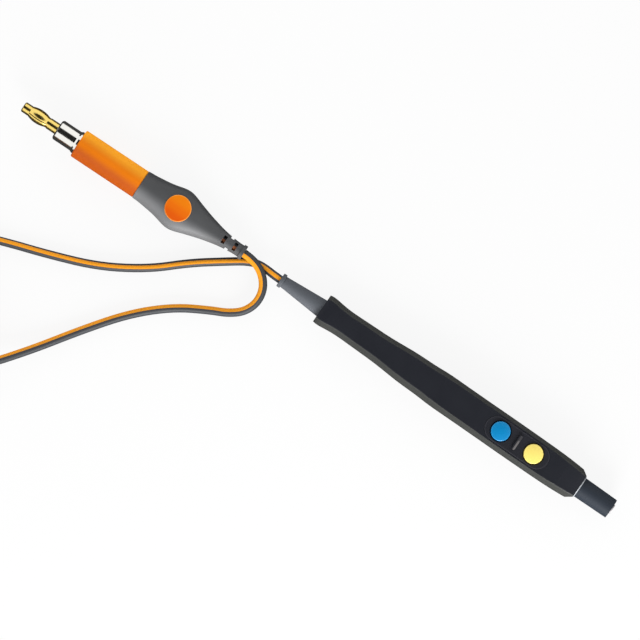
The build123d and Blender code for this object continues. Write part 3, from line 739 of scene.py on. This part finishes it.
class Finish(Enum):
    """The finishes that stay the same wherever they are used."""

    CASING = Casing("casing_plastic", (25, 27, 34), 0.5, grain=0.24 * MM, depth=0.012 * MM, specular=0.24)
    BLUE = Moulded("blue_gloss", (0, 131, 191), 0.34, depth=0.002 * MM, mottle=0.03, coat=0.15)
    YELLOW = Moulded("yellow_gloss", (250, 228, 120), 0.34, depth=0.002 * MM, mottle=0.03, coat=0.15)
    CHUCK = Moulded("chuck_plastic", (42, 48, 57), 0.6, depth=0.004 * MM, specular=0.2)
    LINING = Moulded("lining_plastic", (182, 178, 180), 0.4, depth=0.003 * MM)
    SEAL = Moulded("seal_rubber", (176, 180, 184), 0.55, depth=0.006 * MM)
    # The boot's near side is painted paler and its far side darker: painted light and shade.
    BOOT = SideShaded(
        "boot_rubber",
        (87, 91, 97),
        0.62,
        grain=0.3 * MM,
        depth=0.014 * MM,
        mottle=0.1,
        specular=0.3,
        near_painted_colour=(98, 101, 107),
        far_painted_colour=(76, 79, 85),
        middle=0.0,
        reach=4.0 * MM,
    )
    # The grip's near side is painted paler and its far side darker: painted light and shade.
    GRIP = SideShaded(
        "grip_plastic",
        (68, 69, 71),
        0.54,
        grain=0.28 * MM,
        depth=0.012 * MM,
        mottle=0.1,
        near_painted_colour=(118, 119, 121),
        far_painted_colour=(58, 59, 61),
        middle=0.0,
        reach=6.0 * MM,
    )
    # The tube is painted deeper on its near side and paler on its far side: painted shade and light.
    TUBE = SideShaded("orange_plastic", (236, 125, 8), 0.45, depth=0.004 * MM, mottle=0.05, specular=0.2)
    INSULATOR = Moulded("insulator_plastic", (205, 202, 192), 0.45)
    BOARD = Moulded("board_coat", (38, 92, 52), 0.35, coat=0.4)
    DIODE = Moulded("diode_body", (24, 24, 26), 0.4)
    RED_WIRE = Moulded("red_wire", (168, 36, 30), 0.45)
    BLUE_WIRE = Moulded("blue_wire", (36, 66, 150), 0.45)
    STEEL = Turned("bright_steel", (200, 202, 205), 0.28)
    BRASS = Turned("turned_brass", (214, 178, 96), 0.3)
    CHROME = Turned("mirror_plate", (220, 219, 214), 0.13, depth=0.001 * MM)
    GOLD = Turned("gilt_plate", (228, 200, 112), 0.2)
    STRAP = Weave("strap_weave", (46, 47, 50))


@dataclass
class Wardrobe:
    """The materials made so far, one for each finish."""

    made: dict[str, bpy.types.Material] = field(default_factory=dict)

    def material(self, finish: Finish | Look) -> bpy.types.Material:
        """Give a finish's material, built the first time.

        Args:
            finish: A shared finish or one of its own.

        Returns:
            The material.
        """
        look = finish.value if isinstance(finish, Finish) else finish
        if look.name not in self.made:
            self.made[look.name] = look.material()
        return self.made[look.name]

    def dress(self, piece: bpy.types.Object, finish: Finish | Look) -> None:
        """Give a piece one finish all over.

        Args:
            piece: The object.
            finish: A shared finish or one of its own.
        """
        material = self.material(finish)
        if not piece.material_slots:
            piece.data.materials.append(material)
        for slot in piece.material_slots:
            slot.material = material
        log.info("dressed %s in %s", piece.name, material.name)


@dataclass
class SubAssembly:
    """Pieces that are dressed together, most of them in a shared finish."""

    finishes: dict[str, Finish] = field(default_factory=dict)

    def build(self, nodes: Nodes, wardrobe: Wardrobe) -> None:
        """Dress every piece that has a shared finish.

        Args:
            nodes: The frame's pieces by name.
            wardrobe: Where the materials are kept.
        """
        for name, finish in self.finishes.items():
            wardrobe.dress(nodes[name], finish)


@dataclass
class HandPiece(SubAssembly):
    """The casing with its keypad, switches and inner pieces."""

    finishes: dict[str, Finish] = field(
        default_factory=lambda: {
            "upper_shell": Finish.CASING,
            "lower_shell": Finish.CASING,
            "blue_button": Finish.BLUE,
            "yellow_button": Finish.YELLOW,
            "blue_dome": Finish.STEEL,
            "yellow_dome": Finish.STEEL,
            "circuit_board": Finish.BOARD,
            "board_diodes": Finish.DIODE,
            "board_lead": Finish.BLUE_WIRE,
            "active_wire": Finish.RED_WIRE,
            "signal_wire": Finish.BLUE_WIRE,
        }
    )
    buttons: tuple[str, ...] = ("blue_button", "yellow_button")
    presses: dict[str, str] = field(
        default_factory=lambda: {"blue_dome": "blue_button_press", "yellow_dome": "yellow_button_press"}
    )
    dome_foot: float = 7.78 * MM
    dome_keep: float = 0.31

    def keypad(self) -> Keypad:
        """Set out the keypad's finish from the boxes of the panel and the buttons.

        Returns:
            The finish.
        """
        low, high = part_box("keypad_panel")
        return Keypad(
            name="keypad_plastic",
            colour=(26, 27, 34),
            roughness=0.5,
            depth=0.008 * MM,
            specular=0.3,
            middle=(low[0] + high[0]) / 2,
            half_length=(high[0] - low[0]) / 2,
            half_width=(high[1] - low[1]) / 2,
            holes=tuple(middle_of(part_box(name)) for name in self.buttons),
        )

    def build(self, nodes: Nodes, wardrobe: Wardrobe) -> None:
        """Dress every piece of the casing and give each dome a mesh of its own.

        Args:
            nodes: The frame's pieces by name.
            wardrobe: Where the materials are kept.
        """
        super().build(nodes, wardrobe)
        wardrobe.dress(nodes["keypad_panel"], self.keypad())
        for name, joint in self.presses.items():
            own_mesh(nodes[name])


@dataclass
class Chuck(SubAssembly):
    """The electrode chuck at the casing's nose."""

    finishes: dict[str, Finish] = field(
        default_factory=lambda: {
            "chuck_tube": Finish.CHUCK,
            "socket_collar": Finish.LINING,
            "contact_sleeve": Finish.BRASS,
            "contact_ring": Finish.STEEL,
            "nose_seal": Finish.SEAL,
        }
    )


@dataclass
class CordEntry(SubAssembly):
    """The boot, the clamp and the fixed cord end at the casing's rear."""

    finishes: dict[str, Finish] = field(
        default_factory=lambda: {"cord_boot": Finish.BOOT, "cord_clamp": Finish.BRASS}
    )
    exit: Point = (-82.8 * MM, 0.0, 5.078 * MM)
    stripe_deg: float = 2.0
    stripe_half_deg: float = 27.0

    def build(self, nodes: Nodes, wardrobe: Wardrobe) -> None:
        """Dress the boot, the clamp and the cord end.

        Args:
            nodes: The frame's pieces by name.
            wardrobe: Where the materials are kept.
        """
        super().build(nodes, wardrobe)
        end = SheathEnd(
            name="cord_end_hand",
            axis_start=self.exit,
            turn_deg=0.0,
            stripe_deg=self.stripe_deg,
            half_width_deg=self.stripe_half_deg,
        )
        wardrobe.dress(nodes["handle_cord_end"], end)


@dataclass
class Plug(SubAssembly):
    """The coaxial plug with its grip."""

    finishes: dict[str, Finish] = field(
        default_factory=lambda: {
            "plug_grip": Finish.GRIP,
            "plug_tube": Finish.TUBE,
            "plug_barrel": Finish.CHROME,
            "barrel_insulator": Finish.INSULATOR,
            "barrel_terminal": Finish.BRASS,
            "plug_pin": Finish.GOLD,
            "pin_cage": Finish.GOLD,
            "plug_clamp": Finish.BRASS,
            "pin_wire": Finish.RED_WIRE,
            "barrel_wire": Finish.BLUE_WIRE,
        }
    )
    end: Point = (-101.2 * MM, 0.33 * MM, 6.25 * MM)
    turn_deg: float = 1.1
    dot_from_end: float = 32.6 * MM
    stripe_deg: float = -50.0
    stripe_half_deg: float = 58.0

    def disc(self) -> Disc:
        """Set out the finish of the disc, whose middle lies on the grip's own axis.

        Returns:
            The finish.
        """
        turn = math.radians(self.turn_deg)
        centre = (
            self.end[0] - self.dot_from_end * math.cos(turn),
            self.end[1] - self.dot_from_end * math.sin(turn),
        )
        return Disc(
            name="orange_disc",
            colour=(235, 110, 0),
            roughness=0.45,
            depth=0.003 * MM,
            mottle=0.05,
            specular=0.25,
            # Painted shade and light across the disc's face.
            near_painted_colour=(228, 91, 0),
            far_painted_colour=(238, 127, 0),
            reach=3.4 * MM,
            centre=centre,
        )

    def build(self, nodes: Nodes, wardrobe: Wardrobe) -> None:
        """Dress every piece of the plug.

        Args:
            nodes: The frame's pieces by name.
            wardrobe: Where the materials are kept.
        """
        super().build(nodes, wardrobe)
        wardrobe.dress(nodes["grip_dot"], self.disc())
        end = SheathEnd(
            name="cord_end_plug",
            axis_start=self.end,
            turn_deg=self.turn_deg,
            stripe_deg=self.stripe_deg,
            half_width_deg=self.stripe_half_deg,
            # A darker copy of the stripe: painted shade where the cord end lies inside the plug.
            stripe_colour=(176, 104, 62),
        )
        wardrobe.dress(nodes["plug_cord_end"], end)

    def pieces(self, nodes: Nodes) -> list[bpy.types.Object]:
        """List the plug's pieces."""
        return [nodes[name] for name in (*self.finishes, "grip_dot", "plug_cord_end")]


@dataclass
class FreeCord:
    """The free cord: a leg from the hand piece, a tied coil of the put-away length, and a leg to the plug.

    The points of the legs are those of the solids' routes. They and the coil's sizes are in millimetres.
    """

    diameter: float = 3.5 * MM
    length: float = 3.0
    sides: int = 16
    spline_order: int = 3
    smoothness: int = 6
    coil_centre: Spot = (-201.1, -92.5)
    coil_outer: float = 29.6
    coil_inner: float = 11.6
    coil_turns: float = 20.5
    coil_layers: int = 4
    coil_floor: float = 2.55
    layer_step: float = 3.5
    climb_turns: float = 0.5
    turn_points: int = 16
    start_deg: float = 124.75
    handle_leg: tuple[Point, ...] = (
        (-82.8, 0.0, 5.078),
        (-86.2, 0.0, 5.078),
        (-90.2, 0.35, 3.6),
        (-94.5, 0.15, 2.1),
        (-98.9, -1.8, 1.75),
        (-104.6, -5.9, 1.75),
        (-117.3, -15.4, 1.75),
        (-129.4, -26.8, 1.75),
        (-146.7, -37.8, 1.75),
        (-166.4, -45.5, 1.75),
        (-184.6, -51.6, 1.75),
        (-202.3, -58.6, 2.1),
    )
    plug_leg: tuple[Point, ...] = (
        (-101.2, 0.33, 6.25),
        (-96.3, 0.3, 6.25),
        (-90.3, -2.3, 6.2),
        (-86.2, -7.2, 5.6),
        (-85.2, -13.4, 4.2),
        (-87.6, -19.3, 2.6),
        (-92.9, -23.6, 1.75),
        (-99.3, -26.6, 1.75),
        (-112.4, -34.2, 1.75),
        (-125.9, -46.9, 1.75),
        (-138.5, -64.1, 1.75),
        (-150.7, -82.5, 3.0),
        (-165.0, -101.4, 7.6),
    )

    @property
    def layer_turns(self) -> float:
        """Give the turns of one layer."""
        return self.coil_turns / self.coil_layers

    def layers_up(self, turns: float) -> float:
        """Give how many layers up the cord lies after some turns.

        Args:
            turns: The turns since the coil's start.

        Returns:
            The number of layers, with a part of one while the cord climbs.
        """
        climbed = 0.0
        for edge in range(1, self.coil_layers):
            share = (turns - edge * self.layer_turns) / self.climb_turns + 0.5
            climbed += min(max(share, 0.0), 1.0)
        return climbed

    def coil_points(self) -> list[Point]:
        """Wind the coil's turns in and out, one layer on the other.

        Returns:
            The route's points in the coil.
        """
        cut = math.cos(math.pi / self.turn_points)
        points = []
        for index in range(round(self.coil_turns * self.turn_points) + 1):
            turns = index / self.turn_points
            layer = min(int(turns / self.layer_turns), self.coil_layers - 1)
            share = turns / self.layer_turns - layer
            inward = share if layer % 2 == 0 else 1 - share
            radius = (self.coil_outer - (self.coil_outer - self.coil_inner) * inward) / cut
            angle = math.radians(self.start_deg) + turns * 2 * math.pi
            points.append(
                (
                    self.coil_centre[0] + radius * math.cos(angle),
                    self.coil_centre[1] + radius * math.sin(angle),
                    self.coil_floor + self.layers_up(turns) * self.layer_step,
                )
            )
        return points

    def route(self) -> list[Point]:
        """Join the legs and the coil into one route, from the hand piece to the plug."""
        return [*self.handle_leg, *self.coil_points(), *reversed(self.plug_leg)]

    def centreline(self) -> bpy.types.Mesh:
        """Read the smooth line of the route from its NURBS spline.

        Returns:
            The line, as a mesh of edges.
        """
        curve = bpy.data.curves.new("cord_route", "CURVE")
        curve.dimensions = "3D"
        spline = curve.splines.new("NURBS")
        route = self.route()
        spline.points.add(len(route) - 1)
        for point, place in zip(spline.points, route):
            point.co = (*(Vector(place) * MM), 1.0)
        spline.order_u = self.spline_order
        spline.use_endpoint_u = True
        spline.resolution_u = self.smoothness
        holder = bpy.data.objects.new("cord_route", curve)
        bpy.context.scene.collection.objects.link(holder)
        line = baked(holder)
        bpy.data.objects.remove(holder)
        bpy.data.curves.remove(curve)
        return line

    def tube_tree(self) -> bpy.types.GeometryNodeTree:
        """Build the nodes that run a round tube along a line and mark its section and its length.

        Returns:
            The tree, whose inputs are the line, the tube's sizes and its material.
        """
        tree = bpy.data.node_groups.new("cord_tube", "GeometryNodeTree")
        inputs = {"Geometry": "Geometry", "Diameter": "Float", "Sides": "Int", "Sheath": "Material"}
        for name, kind in inputs.items():
            tree.interface.new_socket(name, in_out="INPUT", socket_type="NodeSocket" + kind)
        tree.interface.new_socket("Geometry", in_out="OUTPUT", socket_type="NodeSocketGeometry")
        graph = Graph(tree)
        given = tree.nodes.new("NodeGroupInput")
        line, diameter, sides, sheath = [Wire(graph, given.outputs[name]) for name in inputs]
        store = "GeometryNodeStoreNamedAttribute"
        path = graph.node("GeometryNodeMeshToCurve", {}, {"Mesh": line})
        path = graph.node("GeometryNodeSetCurveNormal", {"mode": "Z_UP"}, {"Curve": path})
        along = graph.node("GeometryNodeSplineParameter", output="Length")
        path = graph.node(store, {}, {"Geometry": path, "Name": "along", "Value": along})
        section = {"Resolution": sides, "Radius": diameter / 2}
        ring = graph.node("GeometryNodeCurvePrimitiveCircle", {}, section)
        angle = graph.node("GeometryNodeSplineParameter", output="Factor") * (2 * math.pi)
        around = graph.node("ShaderNodeCombineXYZ", {}, {0: angle.cosine(), 1: angle.sine()})
        as_vector = {"data_type": "FLOAT_VECTOR"}
        ring = graph.node(store, as_vector, {"Geometry": ring, "Name": "around", "Value": around})
        sweep = {"Curve": path, "Profile Curve": ring, "Fill Caps": True}
        tube = graph.node("GeometryNodeCurveToMesh", {}, sweep)
        tube = graph.node("GeometryNodeSetShadeSmooth", {}, {"Geometry": tube})
        tube = graph.node("GeometryNodeRealizeInstances", {}, {"Geometry": tube})
        tube = graph.node("GeometryNodeSetMaterial", {}, {"Geometry": tube, "Material": sheath})
        graph.node("NodeGroupOutput", {}, {"Geometry": tube})
        return tree

    def tube(self, line: bpy.types.Mesh, sheath: bpy.types.Material) -> bpy.types.Object:
        """Run the tube along the line and keep it as a plain mesh.

        Args:
            line: The line that it follows.
            sheath: Its material.

        Returns:
            The cord.
        """
        cord = bpy.data.objects.new("cord", line)
        bpy.context.scene.collection.objects.link(cord)
        tree = self.tube_tree()
        modifier = cord.modifiers.new("tube", "NODES")
        modifier.node_group = tree
        given = {"Diameter": self.diameter, "Sides": self.sides, "Sheath": sheath}
        for socket in tree.interface.items_tree:
            if socket.in_out == "INPUT" and socket.name in given:
                modifier[socket.identifier] = given[socket.name]
        cord.data = baked(cord)
        cord.modifiers.clear()
        return cord

    def build(self, nodes: Nodes, wardrobe: Wardrobe, plug: Plug) -> None:
        """Args:
            nodes: The frame's pieces by name.
            wardrobe: Where the materials are kept.
            plug: The plug on its far end; not used.
        """
        line = self.centreline()
        cord = self.tube(line, wardrobe.material(FreeSheath(name="cord_sheath", length=self.length)))
        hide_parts("cord_handle_leg", "cord_coil", "cord_plug_leg")
        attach(cord, "hand_piece")
        wardrobe.dress(nodes["cord_tie"], Finish.STRAP)


@dataclass(frozen=True)
class Lamp:
    """A soft square lamp that faces a target."""

    name: str
    power: float
    size: float
    place: Point
    target: Point
    in_mirrors: bool = True

    def hang(self) -> None:
        """Add the lamp to the scene."""
        light = bpy.data.lights.new(self.name, "AREA")
        light.energy = self.power
        light.size = self.size
        lamp = bpy.data.objects.new(self.name, light)
        lamp.location = self.place
        lamp.rotation_euler = (Vector(self.target) - lamp.location).to_track_quat("-Z", "Y").to_euler()
        lamp.visible_glossy = self.in_mirrors
        bpy.context.scene.collection.objects.link(lamp)


@dataclass
class Studio:
    """Floor, soft light and the camera almost straight above."""

    floor_size: float = 4.0
    floor_colour: Colour = (238, 238, 238)
    floor_glow: float = 0.88
    world_strength: float = 0.97
    mirror_strength: float = 1.6
    mirror_floor: float = 0.06
    walls_until: float = 0.865
    ceiling_from: float = 0.89
    ceiling_loss: float = 0.985
    key: Lamp = Lamp("key", power=7.3, size=0.45, place=(0.37, -0.56, 0.27), target=VIEW_MIDDLE)
    fill: Lamp = Lamp(
        "fill",
        power=0.8,
        size=0.25,
        place=(-0.42, 0.38, 0.16),
        target=(-0.165, 0.0, 0.006),
        in_mirrors=False,
    )
    tilt_deg: float = 2.8
    turn_deg: float = 34.75
    frame_width: float = 262.4 * MM
    lens: float = 400.0
    sensor: float = 36.0

    def build_floor(self) -> None:
        """Make the floor, which the camera sees almost white."""
        reach = self.floor_size / 2
        mesh = bpy.data.meshes.new("floor")
        rim = [(-reach, -reach, 0), (reach, -reach, 0), (reach, reach, 0), (-reach, reach, 0)]
        mesh.from_pydata(rim, [], [range(len(rim))])
        floor = bpy.data.objects.new("floor", mesh)
        bpy.context.scene.collection.objects.link(floor)
        shader = Shader("pale_floor")
        matt = shader.node("ShaderNodeBsdfDiffuse", {}, {"Color": linear(self.floor_colour)})
        glossy = shader.node("ShaderNodeLightPath", output="Is Glossy Ray")
        glow = shader.node("ShaderNodeEmission", {}, {"Strength": 1 - glossy * (1 - self.mirror_floor)})
        seen = shader.node("ShaderNodeLightPath", output="Is Camera Ray") * self.floor_glow
        surface = shader.node("ShaderNodeMixShader", {}, {0: seen + glossy, 1: matt, 2: glow})
        shader.node("ShaderNodeOutputMaterial", {}, {"Surface": surface})
        mesh.materials.append(shader.material)

    def build_world(self) -> None:
        """Make the surrounding light: pale walls, a dim ceiling, and white for the camera."""
        world = bpy.data.worlds.new("studio")
        bpy.context.scene.world = world
        world.use_nodes = True
        graph = Graph(world.node_tree)
        direction = graph.node("ShaderNodeTexCoord", output="Generated")
        height = graph.node("ShaderNodeSeparateXYZ", {}, {0: direction}, "Z")
        ceiling = height.rise(self.walls_until, self.ceiling_from)
        camera = graph.node("ShaderNodeLightPath", output="Is Camera Ray")
        glossy = graph.node("ShaderNodeLightPath", output="Is Glossy Ray")
        strength = self.world_strength + glossy * (self.mirror_strength - self.world_strength)
        strength = strength * (1 - ceiling * self.ceiling_loss)
        strength = strength * (1 - camera) + camera
        light = graph.node("ShaderNodeBackground", {}, {"Strength": strength})
        graph.node("ShaderNodeOutputWorld", {}, {"Surface": light})

    def build_camera(self) -> None:
        """Hang the camera almost straight above, turned as the picture is."""
        lens = bpy.data.cameras.new("camera")
        lens.lens = self.lens
        lens.sensor_width = self.sensor
        camera = bpy.data.objects.new("camera", lens)
        rise = self.frame_width * self.lens / self.sensor
        lean = Matrix.Rotation(math.radians(self.tilt_deg), 3, "X")
        camera.location = Vector(VIEW_MIDDLE) + lean @ Vector((0, 0, rise))
        camera.rotation_euler = (lean @ Matrix.Rotation(math.radians(self.turn_deg), 3, "Z")).to_euler()
        bpy.context.scene.collection.objects.link(camera)
        bpy.context.scene.camera = camera

    def build(self) -> None:
        """Set up the whole studio."""
        self.build_floor()
        self.build_world()
        self.key.hang()
        self.fill.hang()
        self.build_camera()
        bpy.context.scene.view_settings.view_transform = "Standard"


def baked(piece: bpy.types.Object) -> bpy.types.Mesh:
    """Give the piece's mesh as its curve or its modifiers leave it."""
    view = bpy.context.evaluated_depsgraph_get()
    return bpy.data.meshes.new_from_object(piece.evaluated_get(view))


def middle_of(box: tuple[Vector, Vector]) -> Spot:
    """Give the middle of a box, seen from above."""
    low, high = box
    return (low[0] + high[0]) / 2, (low[1] + high[1]) / 2


def main() -> None:
    """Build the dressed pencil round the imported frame."""
    logging.basicConfig(level=logging.INFO, format="%(message)s")
    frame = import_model()
    nodes = frame["nodes"]
    wardrobe = Wardrobe()
    plug = Plug()
    for part in (HandPiece(), Chuck(), CordEntry(), plug):
        part.build(nodes, wardrobe)
    FreeCord().build(nodes, wardrobe, plug)
    Studio().build()


if __name__ == "__main__":
    main()
